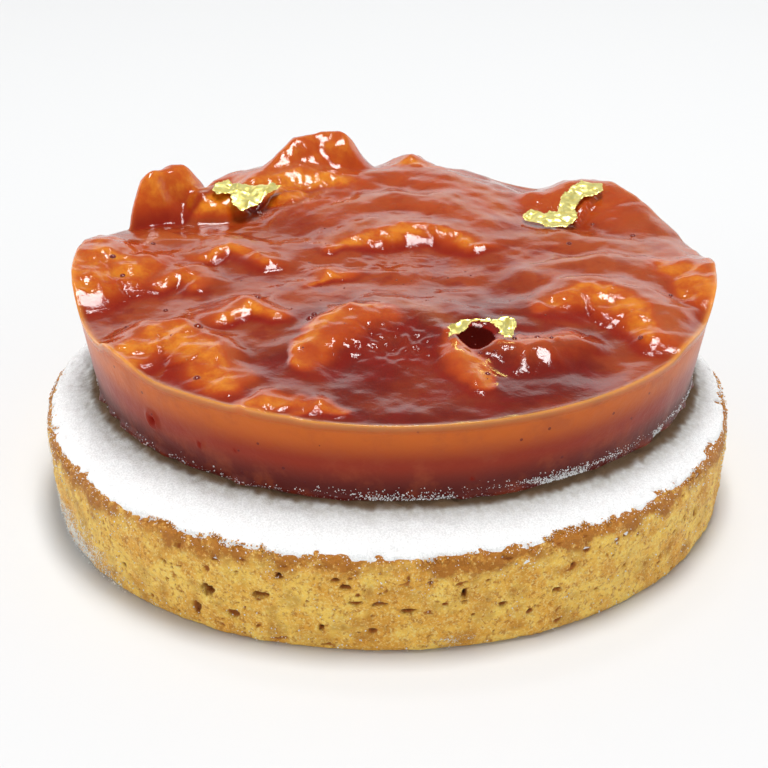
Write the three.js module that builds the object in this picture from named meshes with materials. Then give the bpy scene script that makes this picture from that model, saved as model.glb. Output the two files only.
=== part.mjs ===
// A small individual tarte tatin: a round, domed biscuit base under icing sugar, a moulded layer of
// caramelised apple pieces on top of it, and three scraps of gold leaf.
// Millimetres, +Z up. The origin is the middle of the biscuit's underside, and -Y is the front.

import * as THREE from "three";
import { mergeVertices } from "three/addons/utils/BufferGeometryUtils.js";

// Driving dimensions
const BASE_RADIUS = 40;
const FOOT_RADIUS = 38.9; // the side draws in towards its foot
const BASE_EDGE_HEIGHT = 11.6; // of the biscuit at its rim
const DOME_RISE = 2.6; // of the baked top above the rim
const SEAT_RADIUS = 31; // of the flat middle that the apple layer sits on
const SUGAR_DEPTH = 0.6;
const SUGAR_RADIUS = 38.9;
const SUGAR_GAP = 0.1; // kept under the sugar where it follows the dome down, so only the flat seat touches

const APPLE_BOTTOM_RADIUS = 35;
const APPLE_TAPER = 0.19; // the mould's wall leans out by this much for each mm of height
const APPLE_LEVEL = 9.4; // the glaze between the pieces, above the layer's underside
const APPLE_OFFSET = [0.9, 2.3]; // the layer lies a little off the biscuit's middle
const APPLE_Z = BASE_EDGE_HEIGHT + DOME_RISE + SUGAR_DEPTH;
const PIECE_FALL = 1.7; // slope of an apple piece's sides under the glaze
const PIECE_ROUNDING = 1.5; // how softly a piece's top turns into its sides
const GLAZE_FILLET = 0.55; // how softly the glaze runs from piece to piece

const LEAF_THICKNESS = 0.4;
const LEAF_CLEARANCE = 0.3;

const ROUND_STEPS = 96;
const TOP_RINGS = 17;
const WALL_RINGS = 3;

// Apple pieces that stand out of the glaze: middle, length and width, height of the top, turn in
// degrees, and how steeply the top leans along its length and its width.
const APPLE_PIECES = [
  { at: [-34.5, 0.5], size: [9, 10], top: 13.0, turn: 10, lean: [-0.12, 0] },
  { at: [-28.8, 23.8], size: [8.5, 6], top: 15.8, turn: 28, lean: [-0.14, 0.05] },
  { at: [-11.0, 34.0], size: [15, 8], top: 15.4, turn: -8, lean: [0.22, 0] },
  { at: [2.2, 35.5], size: [4.5, 4], top: 12.2, turn: 20, lean: [0, 0] },
  { at: [27.0, 24.5], size: [11, 9], top: 13.0, turn: -38, lean: [0.04, 0] },
  { at: [35.0, -1.5], size: [8, 9], top: 11.7, turn: 0, lean: [0.03, 0] },
  { at: [-22.6, 21.9], size: [5.4, 4.6], top: 13.4, turn: 5, lean: [0, 0] },
  { at: [-14.0, 23.6], size: [5, 4.6], top: 12.8, turn: -15, lean: [0, 0] },
  { at: [1.0, 26.0], size: [19, 7], top: 12.3, turn: -8, lean: [-0.03, 0.08] },
  { at: [1.2, 12.6], size: [16, 8], top: 12.4, turn: -12, lean: [-0.04, 0.08] },
  { at: [-18.5, 3.8], size: [11, 5], top: 11.4, turn: -22, lean: [0, 0] },
  { at: [-24.8, -3.2], size: [5, 5], top: 11.1, turn: 15, lean: [0, 0] },
  { at: [-16.3, -10.5], size: [6.5, 5.5], top: 11.8, turn: 10, lean: [0, 0] },
  { at: [-24.0, -21.0], size: [15, 10], top: 11.2, turn: -28, lean: [-0.02, 0.16] },
  { at: [-13.2, -32.0], size: [6, 3.5], top: 10.4, turn: -12, lean: [0, 0] },
  { at: [-5.2, -15.6], size: [12, 5.5], top: 12.2, turn: 32, lean: [0.05, 0.03] },
  { at: [-7.7, -3.2], size: [4, 4], top: 11.2, turn: 0, lean: [0, 0] },
  { at: [2.5, -17.0], size: [10, 8], top: 11.4, turn: 20, lean: [0, 0.06] },
  { at: [8.4, -24.5], size: [4.5, 9], top: 11.4, turn: 8, lean: [0, 0.08] },
  { at: [14.6, -22.6], size: [7, 7], top: 11.5, turn: -25, lean: [0, 0.07] },
  { at: [24.0, -8.0], size: [13, 8], top: 12.2, turn: -22, lean: [0, 0.06] },
  { at: [18.5, 9.6], size: [6, 5], top: 11.2, turn: 0, lean: [0, 0] },
];

// Scraps of gold leaf: a path over the apple layer, the width at its ends and middle, and how far
// the middle arches up.
const GOLD_LEAVES = [
  {
    name: "gold_leaf_left",
    path: [[-23.0, 21.6], [-18.6, 20.6], [-14.0, 22.2]],
    widths: [2.6, 5.2, 1.6],
    arch: 0.5,
  },
  {
    name: "gold_leaf_front",
    path: [[6.2, -18.6], [10.0, -17.6], [12.6, -20.6]],
    widths: [2.2, 2.4, 3.0],
    arch: 1.3,
  },
  {
    name: "gold_leaf_back",
    path: [[16.8, 16.8], [21.4, 14.6], [25.4, 22.4]],
    widths: [2.6, 2.4, 2.8],
    arch: 0.4,
  },
];
const LEAF_STEPS = [8, 3];

const MATERIALS = {
  biscuit: new THREE.MeshStandardMaterial({ color: 0xd09a4a, roughness: 0.9, metalness: 0 }),
  sugar: new THREE.MeshStandardMaterial({ color: 0xf7f7f5, roughness: 1, metalness: 0 }),
  apple: new THREE.MeshStandardMaterial({ color: 0xb5522c, roughness: 0.18, metalness: 0 }),
  gold: new THREE.MeshStandardMaterial({ color: 0xf3dc6a, roughness: 0.3, metalness: 1 }),
};

// Height of the baked dome above the underside, at a distance from the middle.
function domeHeight(radius) {
  const share = THREE.MathUtils.smoothstep(radius, SEAT_RADIUS, BASE_RADIUS);
  return BASE_EDGE_HEIGHT + DOME_RISE * (1 - share);
}

// A hand-made round: the radius swells and draws in by a few tenths of a millimetre.
function unevenness(angle) {
  return 0.12 * Math.sin(2 * angle + 0.6) + 0.1 * Math.sin(3 * angle + 2.1) + 0.08 * Math.sin(5 * angle);
}

// A profile of [radius, height] points turned round the vertical axis, as one closed surface.
function turned(profile) {
  const points = profile.map(([radius, height]) => new THREE.Vector2(radius, height));
  const lathe = new THREE.LatheGeometry(points, ROUND_STEPS).rotateX(Math.PI / 2);
  lathe.deleteAttribute("normal");
  lathe.deleteAttribute("uv");
  return mergeVertices(lathe, 1e-4);
}

// Moves each vertex of a geometry to where the function puts it.
function reshaped(geometry, move) {
  const place = geometry.getAttribute("position");
  const point = new THREE.Vector3();
  for (let i = 0; i < place.count; i++) {
    point.fromBufferAttribute(place, i);
    move(point);
    place.setXYZ(i, point.x, point.y, point.z);
  }
  return geometry;
}

// Pushes a turned shape's outer part in and out, so that its round is uneven but its middle is true.
function handMade(point) {
  const radius = Math.hypot(point.x, point.y);
  if (radius <= SEAT_RADIUS) return;
  const share = (radius - SEAT_RADIUS) / (BASE_RADIUS - SEAT_RADIUS);
  const scale = 1 + (share * unevenness(Math.atan2(point.y, point.x))) / radius;
  point.x *= scale;
  point.y *= scale;
}

// The dome's outline from its outer edge in to the flat seat, raised by a depth.
function domeOutline(outerRadius, raised) {
  const steps = 4;
  return Array.from({ length: steps + 1 }, (_, i) => {
    const radius = THREE.MathUtils.lerp(outerRadius, SEAT_RADIUS, i / steps);
    return [radius, domeHeight(radius) + raised];
  });
}

function biscuitBase() {
  const profile = [
    [0, 0],
    [FOOT_RADIUS - 0.6, 0],
    [FOOT_RADIUS, 0.5],
    [39.3, 3.2],
    [39.75, 6.6],
    [BASE_RADIUS, 9.7],
    [39.6, 11.2],
    ...domeOutline(SUGAR_RADIUS, 0),
    [0, domeHeight(0)],
  ];
  return new THREE.Mesh(reshaped(turned(profile), handMade), MATERIALS.biscuit);
}

function icingSugar() {
  const seat = [SEAT_RADIUS, domeHeight(0)];
  const slope = domeOutline(SUGAR_RADIUS, SUGAR_GAP).slice(0, -1).reverse();
  const top = domeOutline(SUGAR_RADIUS - SUGAR_DEPTH, SUGAR_DEPTH);
  const profile = [[0, domeHeight(0)], seat, ...slope, ...top, [0, domeHeight(0) + SUGAR_DEPTH]];
  return new THREE.Mesh(reshaped(turned(profile), handMade), MATERIALS.sugar);
}

// The radius of the mould's wall at a height above the apple layer's underside.
function wallRadius(height) {
  return APPLE_BOTTOM_RADIUS + APPLE_TAPER * height;
}

// A maximum whose corner is rounded over about the given width.
function smoothMax(a, b, width) {
  return Math.max(a, b) + width * Math.log1p(Math.exp(-Math.abs(a - b) / width));
}

// The height of one glazed apple piece: a leaning top over a rounded block, falling away outside it.
function pieceHeight(piece, x, y) {
  const turn = THREE.MathUtils.degToRad(piece.turn);
  const dx = x - piece.at[0];
  const dy = y - piece.at[1];
  const along = dx * Math.cos(turn) + dy * Math.sin(turn);
  const across = -dx * Math.sin(turn) + dy * Math.cos(turn);
  const corner = Math.min(...piece.size) * 0.35;
  const overX = Math.abs(along) - piece.size[0] / 2 + corner;
  const overY = Math.abs(across) - piece.size[1] / 2 + corner;
  const outside = Math.hypot(Math.max(overX, 0), Math.max(overY, 0)) + Math.min(Math.max(overX, overY), 0);
  const distance = outside - corner;
  const fall = PIECE_ROUNDING * Math.log1p(Math.exp(distance / PIECE_ROUNDING));
  return piece.top + piece.lean[0] * along + piece.lean[1] * across - PIECE_FALL * fall;
}

// The height of the glazed top above the apple layer's underside.
function appleTop(x, y) {
  const swell = 0.35 * Math.sin(x / 7 + 0.8) * Math.cos(y / 9 - 0.4);
  const edge = 0.3 * THREE.MathUtils.smoothstep(Math.hypot(x, y), 33, 36);
  return APPLE_PIECES.reduce(
    (height, piece) => smoothMax(height, pieceHeight(piece, x, y), GLAZE_FILLET),
    APPLE_LEVEL + swell - edge,
  );
}

// How high the wall reaches in a direction, where the uneven top meets the mould's leaning side.
function rimHeight(angle) {
  let height = APPLE_LEVEL;
  for (let i = 0; i < 6; i++) {
    const radius = wallRadius(height);
    height = appleTop(radius * Math.cos(angle), radius * Math.sin(angle));
  }
  return height;
}

function appleLayer() {
  const wall = Array.from({ length: WALL_RINGS + 1 }, (_, i) => [APPLE_BOTTOM_RADIUS, i / WALL_RINGS]);
  const top = Array.from({ length: TOP_RINGS }, (_, i) => [
    APPLE_BOTTOM_RADIUS * (1 - (i + 1) / TOP_RINGS),
    1,
  ]);
  const geometry = reshaped(turned([[0, 0], ...wall, ...top]), (point) => {
    if (point.z === 0) return;
    const angle = Math.atan2(point.y, point.x);
    const share = Math.hypot(point.x, point.y) / APPLE_BOTTOM_RADIUS;
    const rim = rimHeight(angle);
    const height = point.z < 0.999 || share > 0.999 ? point.z * rim : rim;
    const radius = share * wallRadius(height);
    point.x = radius * Math.cos(angle);
    point.y = radius * Math.sin(angle);
    point.z = share > 0.999 ? height : appleTop(point.x, point.y);
  });
  return new THREE.Mesh(geometry, MATERIALS.apple);
}

// A function that gives the highest point of a mesh close round a place seen from above.
function surfaceUnder(mesh) {
  const caster = new THREE.Raycaster();
  const down = new THREE.Vector3(0, 0, -1);
  const reach = 0.6;
  const spots = [[0, 0], [reach, 0], [-reach, 0], [0, reach], [0, -reach]];
  return (x, y) => {
    const heights = spots.map(([dx, dy]) => {
      caster.set(new THREE.Vector3(x + dx, y + dy, 100), down);
      const [hit] = caster.intersectObject(mesh);
      return hit ? hit.point.z : 0;
    });
    return Math.max(...heights);
  };
}

function goldLeaf({ name, path, widths, arch }, seat) {
  const curve = new THREE.CatmullRomCurve3(path.map(([x, y]) => new THREE.Vector3(x, y, 0)));
  const widthCurve = new THREE.SplineCurve(widths.map((width, i) => new THREE.Vector2(i, width)));
  const slab = new THREE.BoxGeometry(1, 1, 1, ...LEAF_STEPS, 1);
  slab.deleteAttribute("normal");
  slab.deleteAttribute("uv");
  const geometry = reshaped(mergeVertices(slab, 1e-4), (point) => {
    const t = point.x + 0.5;
    const middle = curve.getPoint(t);
    const tangent = curve.getTangent(t);
    const aside = point.y * widthCurve.getPoint(t).y;
    const x = middle.x - tangent.y * aside;
    const y = middle.y + tangent.x * aside;
    const crumple = 0.18 * Math.sin(3.1 * x + 1.3 * y) + 0.18;
    const lift = arch * Math.sin(Math.PI * t);
    const underside = seat(x, y) + LEAF_CLEARANCE + crumple + lift;
    point.set(x, y, underside + (point.z + 0.5) * LEAF_THICKNESS);
  });
  const mesh = new THREE.Mesh(geometry, MATERIALS.gold);
  mesh.name = name;
  return mesh;
}

const tart = new THREE.Group();

const biscuit = biscuitBase();
biscuit.name = "biscuit_base";

const sugar = icingSugar();
sugar.name = "icing_sugar";

const apple = appleLayer();
apple.name = "apple_layer";
apple.updateMatrixWorld(true);
const seat = surfaceUnder(apple);

const topping = new THREE.Group();
topping.position.set(APPLE_OFFSET[0], APPLE_OFFSET[1], APPLE_Z);
topping.add(apple, ...GOLD_LEAVES.map((leaf) => goldLeaf(leaf, seat)));

tart.add(biscuit, sugar, topping);
export default tart;
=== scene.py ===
# A small tarte tatin: crumbly biscuit base, icing sugar, apple pieces in glaze and scraps of gold leaf.
# The shapes are worked out in millimetres and made in metres. The front of the tart faces -Y.

import itertools
import math

import bpy
import numpy as np
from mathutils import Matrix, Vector, noise


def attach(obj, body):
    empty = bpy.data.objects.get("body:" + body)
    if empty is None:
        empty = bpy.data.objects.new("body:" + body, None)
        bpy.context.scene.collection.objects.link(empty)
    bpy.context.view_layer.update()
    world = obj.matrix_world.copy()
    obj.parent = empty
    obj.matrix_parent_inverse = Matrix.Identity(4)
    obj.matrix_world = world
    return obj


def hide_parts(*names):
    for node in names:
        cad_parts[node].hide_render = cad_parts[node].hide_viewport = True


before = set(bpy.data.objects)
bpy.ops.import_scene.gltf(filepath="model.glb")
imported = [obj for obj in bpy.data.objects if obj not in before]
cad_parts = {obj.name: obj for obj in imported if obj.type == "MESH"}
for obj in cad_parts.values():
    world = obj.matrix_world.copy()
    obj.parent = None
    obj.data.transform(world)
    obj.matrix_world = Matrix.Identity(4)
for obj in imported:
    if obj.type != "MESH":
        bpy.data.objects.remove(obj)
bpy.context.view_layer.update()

MM = 0.001

# The biscuit and the sugar on it
BASE_RADIUS = 40.0
BASE_EDGE_HEIGHT = 11.6
DOME_RISE = 2.6
SEAT_RADIUS = 31.0
SUGAR_DEPTH = 0.6
ROUND_STEPS = 1100  # points round the biscuit

# The apple layer, in its own frame: its middle lies over APPLE_OFFSET and its underside at APPLE_Z
APPLE_OFFSET = (0.9, 2.3)
APPLE_Z = BASE_EDGE_HEIGHT + DOME_RISE + SUGAR_DEPTH
APPLE_PLACE = (*APPLE_OFFSET, APPLE_Z)
APPLE_BOTTOM_RADIUS = 35.0
APPLE_TAPER = 0.19
APPLE_LEVEL = 9.4  # the glaze between the pieces, above the layer's underside
APPLE_RIM_RADIUS = 36.8  # where the top meets the wall
TOP_STEPS = 250  # cells along each side of the glazed top's grid
WALL_ROWS = 24  # rings of points down the wall

# Blocks of apple under the glaze: middle, length and width, height of the top, turn in degrees, how
# steeply the top leans along its length and its width, and how bare of glaze the block is.
APPLE_BLOCKS = [
    ((-22.6, 21.9), (5.4, 4.6), 13.3, 5, (0.0, 0.05), 1.0),
    ((-14.0, 23.6), (4.6, 4.6), 12.8, -12, (0.0, 0.05), 0.9),
]

# Folds where the glaze runs over apple. Each has a crest of (x, y, height) points, how steeply it
# falls on its right and on its left, going along the crest, and how bare of glaze it is on each.
APPLE_FOLDS = [
    ([(-30.2, 22.2, 15.6), (-27.0, 24.0, 15.5)], 1.5, 1.4, 0.9, 0.5),
    (
        [(-31, -20, 10.6), (-27, -15, 11.4), (-23, -14.5, 11.5), (-18.5, -20, 11.3), (-16.5, -27, 10.4)],
        0.18, 0.6, 0.95, 0.3,
    ),
    ([(-37.5, -1, 12.5), (-35, 4.5, 12.9), (-31.5, 2.5, 12.3)], 0.32, 0.3, 0.9, 0.5),
    ([(-33, 9.5, 10.9), (-27, 10.5, 11.0), (-20, 9.5, 11.0)], 0.4, 0.12, 0.1, 0.0),
    ([(-23, 5.5, 11.4), (-19, 7.5, 11.9), (-15, 3.5, 11.6)], 0.65, 0.3, 0.8, 0.2),
    ([(-27, -1.5, 11.0), (-24.5, 0.5, 11.5), (-22.5, -2, 11.1)], 0.85, 0.4, 0.8, 0.3),
    ([(-19, -12.5, 11.6), (-16.5, -10, 12.2), (-13, -12, 11.7)], 0.85, 0.5, 1.0, 0.4),
    ([(-10.5, -23, 10.9), (-8.5, -17, 12.0), (-5, -12, 12.4), (-1.5, -12.5, 12.0)], 0.3, 0.7, 0.55, 1.0),
    ([(-1.5, -11.5, 11.7), (3.5, -12, 11.6), (6, -16, 11.3)], 0.3, 0.1, 0.0, 0.1),
    ([(6.5, -17, 11.4), (7, -22.5, 11.4), (8.5, -28, 10.5)], 0.6, 0.5, 0.5, 0.8),
    ([(10, -19, 11.2), (13.5, -21.5, 11.5), (16.5, -20.5, 11.7), (19, -18.5, 11.1)], 0.65, 0.35, 0.25, 0.7),
    (
        [(17, -9.5, 11.4), (21, -6, 12.3), (25, -6.5, 12.4), (28.5, -11, 11.9), (29.5, -16, 10.8)],
        0.5, 0.35, 0.9, 0.2,
    ),
    ([(17, -0.5, 11.6), (24, 3, 12.1), (29, 0.5, 11.7)], 0.2, 0.4, 0.1, 0.1),
    ([(32, 2, 11.6), (35.5, 0.5, 12.2), (36.8, -5, 11.7)], 0.3, 0.3, 0.85, 0.4),
    (
        [(-7, 7.5, 11.6), (-3.5, 11, 12.4), (0.5, 13, 12.6), (5.5, 12, 12.5), (10, 8.5, 11.9)],
        0.6, 0.3, 0.9, 0.15,
    ),
    ([(-6.5, 17.5, 12.2), (-0.5, 21.5, 12.8), (7, 20, 12.7), (11, 14.5, 12.0)], 0.22, 0.35, 0.3, 0.1),
    (
        [(-11, 21, 12.0), (-5.5, 28, 12.4), (1, 31, 12.6), (6, 29, 12.6), (11, 23, 12.2), (13.5, 16.5, 11.4)],
        0.14, 0.3, 0.35, 0.2,
    ),
    ([(13, 10, 11.4), (20, 10.5, 11.5), (25, 9, 11.4), (30.5, 3.5, 11.2)], 0.3, 0.15, 0.1, 0.0),
    ([(19, 23.5, 12.0), (23, 24.5, 13.1), (27, 24.8, 13.0), (29.5, 20.5, 12.0)], 0.2, 0.4, 0.5, 0.4),
    ([(29.5, 22, 11.9), (32, 11, 11.1), (35, 3, 11.2)], 0.25, 0.4, 0.2, 0.2),
    ([(-9.5, -3.5, 11.0), (-8, -0.5, 11.7), (-6, -1, 11.4)], 0.8, 0.4, 0.9, 0.3),
    ([(-15.5, -32.5, 9.8), (-13, -31, 10.4), (-10, -32, 10.0)], 0.5, 0.5, 0.8, 0.5),
    ([(-9.5, -34, 9.7), (-8, -32.5, 10.2), (-6, -34, 9.7)], 0.5, 0.5, 0.8, 0.5),
    ([(-20.5, 24, 12.4), (-16.5, 28.5, 13.7), (-12.5, 33, 15.9), (-7.2, 34.4, 16.5)], 1.2, 1.8, 0.7, 0.6),
    ([(-17, 27, 13.2), (-12, 28.5, 13.9), (-7.5, 27.5, 13.0)], 0.9, 0.25, 1.0, 0.5),
    ([(-1, 32.5, 12.0), (2, 34.5, 13.1), (5, 32.5, 12.3)], 0.5, 0.5, 0.9, 0.6),
]
# the hollow under the front scrap of gold leaf is painted near black as painted shade
GLAZE_HOLLOW = (8.9, -17.2)  # the dark hollow under the front scrap of gold leaf
GLAZE_CRINKLE = (-0.5, -18.5)  # where a thin skin crinkles on the glaze


# Numbers and shapes

def soft_step(value, low, high):
    """Goes smoothly from 0 at low to 1 at high."""
    share = np.clip((value - low) / (high - low), 0, 1)
    return share * share * (3 - 2 * share)


def cloud(points, size, seed):
    """Smooth random values between -1 and 1 that change over a distance of size."""
    lattice = np.random.default_rng(seed).uniform(-1, 1, (64, 64, 64))
    cell = points / size
    low = np.floor(cell).astype(int)
    share = cell - low
    share = share * share * (3 - 2 * share)
    total = np.zeros(len(points))
    for corner in itertools.product((0, 1), repeat=3):
        index = tuple((low[:, axis] + corner[axis]) % 64 for axis in range(3))
        weight = np.ones(len(points))
        for axis in range(3):
            weight *= share[:, axis] if corner[axis] else 1 - share[:, axis]
        total += weight * lattice[index]
    return total


def layered_cloud(points, size, seed, layers=3):
    """A cloud with finer and weaker clouds on it."""
    return sum(cloud(points, size / 2**i, seed + i) / 2**i for i in range(layers))


def crumbs(points, size):
    """Distance to the middle of the nearest crumb, as a share of size."""
    return np.array([noise.voronoi(Vector(p))[0][0] for p in (points / size).tolist()])


def around(radius, angle, height):
    """Points at a distance from the upright axis, in a direction and at a height."""
    return np.stack([radius * np.cos(angle), radius * np.sin(angle), height], 1)


def make_piece(name, points, faces, values):
    """A smooth mesh of points in millimetres, with named values on its points."""
    mesh = bpy.data.meshes.new(name)
    mesh.from_pydata((np.asarray(points) * MM).tolist(), [], faces)
    mesh.polygons.foreach_set("use_smooth", np.ones(len(mesh.polygons), bool))
    for value_name, value in values.items():
        attribute = mesh.attributes.new(value_name, "FLOAT", "POINT")
        attribute.data.foreach_set("value", np.asarray(value, np.float32))
    piece = bpy.data.objects.new(name, mesh)
    bpy.context.scene.collection.objects.link(piece)
    return piece


def ring_faces(rows, columns, first=0):
    """Quads between rings of points, each ring closed on itself."""
    row, column = np.meshgrid(np.arange(rows - 1), np.arange(columns), indexing="ij")
    beside = (column + 1) % columns
    corners = [row * columns + column, row * columns + beside]
    corners += [corners[1] + columns, corners[0] + columns]
    return (np.stack(corners, -1).reshape(-1, 4) + first).tolist()


def along_outline(outline, step):
    """Points at even steps along an outline of [radius, height] points, and the direction out of it."""
    outline = np.array(outline, float)
    lengths = np.concatenate([[0], np.cumsum(np.hypot(*np.diff(outline, axis=0).T))])
    places = np.linspace(0, lengths[-1], int(lengths[-1] / step) + 1)
    even = np.stack([np.interp(places, lengths, outline[:, axis]) for axis in (0, 1)], 1)
    for _ in range(4):
        even[1:-1] = (even[:-2] + 2 * even[1:-1] + even[2:]) / 4
    run = np.gradient(even, axis=0)
    outward = np.stack([-run[:, 1], run[:, 0]], 1)
    return even, outward / np.linalg.norm(outward, axis=1, keepdims=True)


# Biscuit

def dome_height(radius):
    """Height of the baked dome above the underside, at a distance from the middle."""
    return BASE_EDGE_HEIGHT + DOME_RISE * (1 - soft_step(radius, SEAT_RADIUS, BASE_RADIUS))


def unevenness(angle):
    """How far the hand-made round swells or draws in, in a direction."""
    return 0.12 * np.sin(2 * angle + 0.6) + 0.1 * np.sin(3 * angle + 2.1) + 0.08 * np.sin(5 * angle)


def side_radius(height):
    """Radius of the biscuit's side at a height above its underside."""
    return np.interp(height, [0.7, 3.2, 6.6, 9.7, 11.0], [39.0, 39.3, 39.75, 40.0, 39.8])


# Holes in the biscuit's side: direction in degrees and height of the middle, then the hole's width,
# height and depth
SIDE_HOLES = [
    (-118.0, 5.6, 1.1, 0.9, 1.6),
    (-109.7, 6.0, 0.8, 0.6, 1.5),
    (-108.6, 6.2, 0.6, 0.35, 0.9),
    (-106.3, 8.8, 0.9, 0.7, 0.9),
    (-114.2, 3.1, 1.3, 0.7, 0.42),
    (-99.9, 3.0, 0.5, 0.4, 0.8),
    (-97.6, 9.2, 0.6, 0.4, 0.6),
    (-96.1, 8.3, 0.8, 0.35, 0.6),
    (-94.7, 6.5, 0.9, 0.3, 0.7),
    (-91.0, 6.3, 1.0, 0.35, 0.7),
    (-86.6, 5.3, 1.6, 0.3, 0.8),
    (-78.3, 7.5, 0.4, 0.8, 0.8),
    (-78.3, 6.3, 0.9, 0.3, 0.5),
    (-72.1, 5.1, 0.8, 0.35, 0.6),
    (-62.9, 5.5, 1.2, 0.35, 0.5),
    (-125.9, 7.5, 0.6, 0.4, 0.5),
    (-120.8, 2.4, 0.7, 1.6, 0.45),
    (-136.0, 4.1, 0.6, 0.5, 0.6),
]


def biscuit_rings():
    """Rings of points over the smooth biscuit: radius, direction and height, and the way out of it."""
    outline = [[radius, dome_height(radius)] for radius in np.linspace(30, 38.9, 14)]
    outline += [[39.5, 11.45], [39.8, 11.0], [40.0, 9.7], [39.75, 6.6], [39.3, 3.2]]
    outline += [[39.0, 0.7], [38.8, 0.1], [38.4, 0.0], [34.0, 0.0]]
    line, outward = along_outline(outline, 0.22)
    # Under the sugar and on the underside, the rings lie four times as far apart
    hidden = ((line[:, 0] < 37.6) & (line[:, 1] > 10)) | ((line[:, 0] < 37.8) & (line[:, 1] < 0.1))
    kept = ~hidden | (np.arange(len(line)) % 4 == 0)
    line, outward = line[kept], outward[kept]
    radius = np.repeat(line[:, 0], ROUND_STEPS)
    height = np.repeat(line[:, 1], ROUND_STEPS)
    angle = np.tile(np.linspace(-math.pi, math.pi, ROUND_STEPS, endpoint=False), len(line))
    radius = radius + soft_step(radius, SEAT_RADIUS, BASE_RADIUS) * unevenness(angle)
    return radius, angle, height, np.repeat(outward, ROUND_STEPS, axis=0)


def crumb_relief(place, angle, height, side):
    """How far the crumb stands out at each place, and how hollow it is, which the colour later darkens as
    painted shade.
    """
    swell = 0.22 * layered_cloud(place, 7.0, 11, 2) * side
    rough = 0.13 * layered_cloud(place * [1, 1, 1.5], 1.6, 21, 3) + 0.07 * cloud(place, 0.45, 27)
    crumb = 0.16 * (0.5 - crumbs(place * [1, 1, 1.3], 1.25))
    pits = -0.4 * soft_step(layered_cloud(place * [1, 1, 2.2], 1.5, 41, 2), 0.85, 1.25)
    fine_pits = -0.3 * soft_step(cloud(place * [1, 1, 1.7], 0.75, 47), 0.62, 0.9)
    moved = swell + (rough + crumb + pits + fine_pits) * (0.35 + 0.65 * side)
    # the hollows are later painted darker, as painted shade in the pits and holes
    shaded_hollow = np.clip(-(pits / 0.6 + fine_pits / 0.6), 0, 1) * side
    for direction, level, wide, high, depth in SIDE_HOLES:
        aside = (angle - math.radians(direction) + math.pi) % (2 * math.pi) - math.pi
        away = np.hypot(aside * BASE_RADIUS / wide, (height - level) / high)
        away = away / 0.8 + 0.35 * cloud(place, 0.7, 61)
        hole = 1 - soft_step(away, 0.55, 0.9)
        moved = moved - 1.3 * depth * hole * side
        shaded_hollow = np.maximum(shaded_hollow, hole * side * min(1, 1.3 * depth))
    return moved, shaded_hollow


def browning(place, radius, height, side):
    """How browned each place is: most at the upper edge, and in patches on the side."""
    baked = 0.78 * soft_step(height, 8.5, 11.2) * soft_step(radius, 37.0, 38.5)
    baked = baked + 0.42 * layered_cloud(place, 2.0, 71) * side
    return np.clip(baked, 0, 1)


def dusting_at(place, angle, height):
    """How dusted with sugar each place is: most on the left side, and some at the foot and the edge."""
    left_side = soft_step(-np.cos(angle), 0.52, 0.93) * soft_step(-height, -11, -1.5)
    left_side = left_side * (0.82 - 0.4 * soft_step(np.sin(angle), -0.3, 0.4))
    foot = soft_step(-height, -2.2, -0.4) * soft_step(cloud(place, 6.0, 77), -0.1, 0.5)
    patch = np.exp(-(((np.degrees(angle) + 79.5) / 5.0) ** 2) - ((height - 1.5) / 0.9) ** 2)
    upper = soft_step(height, 10.9, 11.7) * 0.22
    return np.clip(left_side + foot * 0.35 + patch * 0.6 + upper, 0, 0.85)


def biscuit_base():
    radius, angle, height, outward = biscuit_rings()
    place = around(radius, angle, height)
    over_edge = soft_step(height, 10.9, 12.0) * (1 - soft_step(radius, 38.6, 39.6))
    side = soft_step(radius, 38.3, 38.9) * (1 - over_edge)
    moved, shaded_hollow = crumb_relief(place, angle, height, side)
    flat = np.where(height < 0.02, 0.0, 1.0)
    place[:, 0] += moved * outward[:, 0] * np.cos(angle)
    place[:, 1] += moved * outward[:, 0] * np.sin(angle)
    place[:, 2] += moved * outward[:, 1] * flat * (0.3 + 0.7 * soft_step(height, 0.0, 0.5))
    place[:, 2] = np.maximum(place[:, 2], 0)
    values = {"shaded_hollow": shaded_hollow, "baked": browning(place, radius, height, side)}
    values["dusted"] = dusting_at(place, angle, height)

    faces = [face[::-1] for face in ring_faces(len(place) // ROUND_STEPS, ROUND_STEPS)]
    last = len(place) - ROUND_STEPS
    faces.append(list(range(ROUND_STEPS)))
    faces.append(list(range(last, len(place)))[::-1])
    return make_piece("biscuit", place, faces, values)


# Icing sugar

def sugar_edge(angle):
    """How far out the sugar reaches in a direction: a ragged line near the top's edge."""
    ring = around(BASE_RADIUS, angle, np.zeros_like(angle))
    ragged = 0.4 * cloud(ring, 5.0, 81) + 0.45 * cloud(ring, 1.7, 82) + 0.3 * cloud(ring, 0.6, 83)
    bare = np.exp(-(((np.degrees(angle) + 60.5) / 3.0) ** 2))
    return 39.4 + ragged - 1.3 * bare


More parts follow.
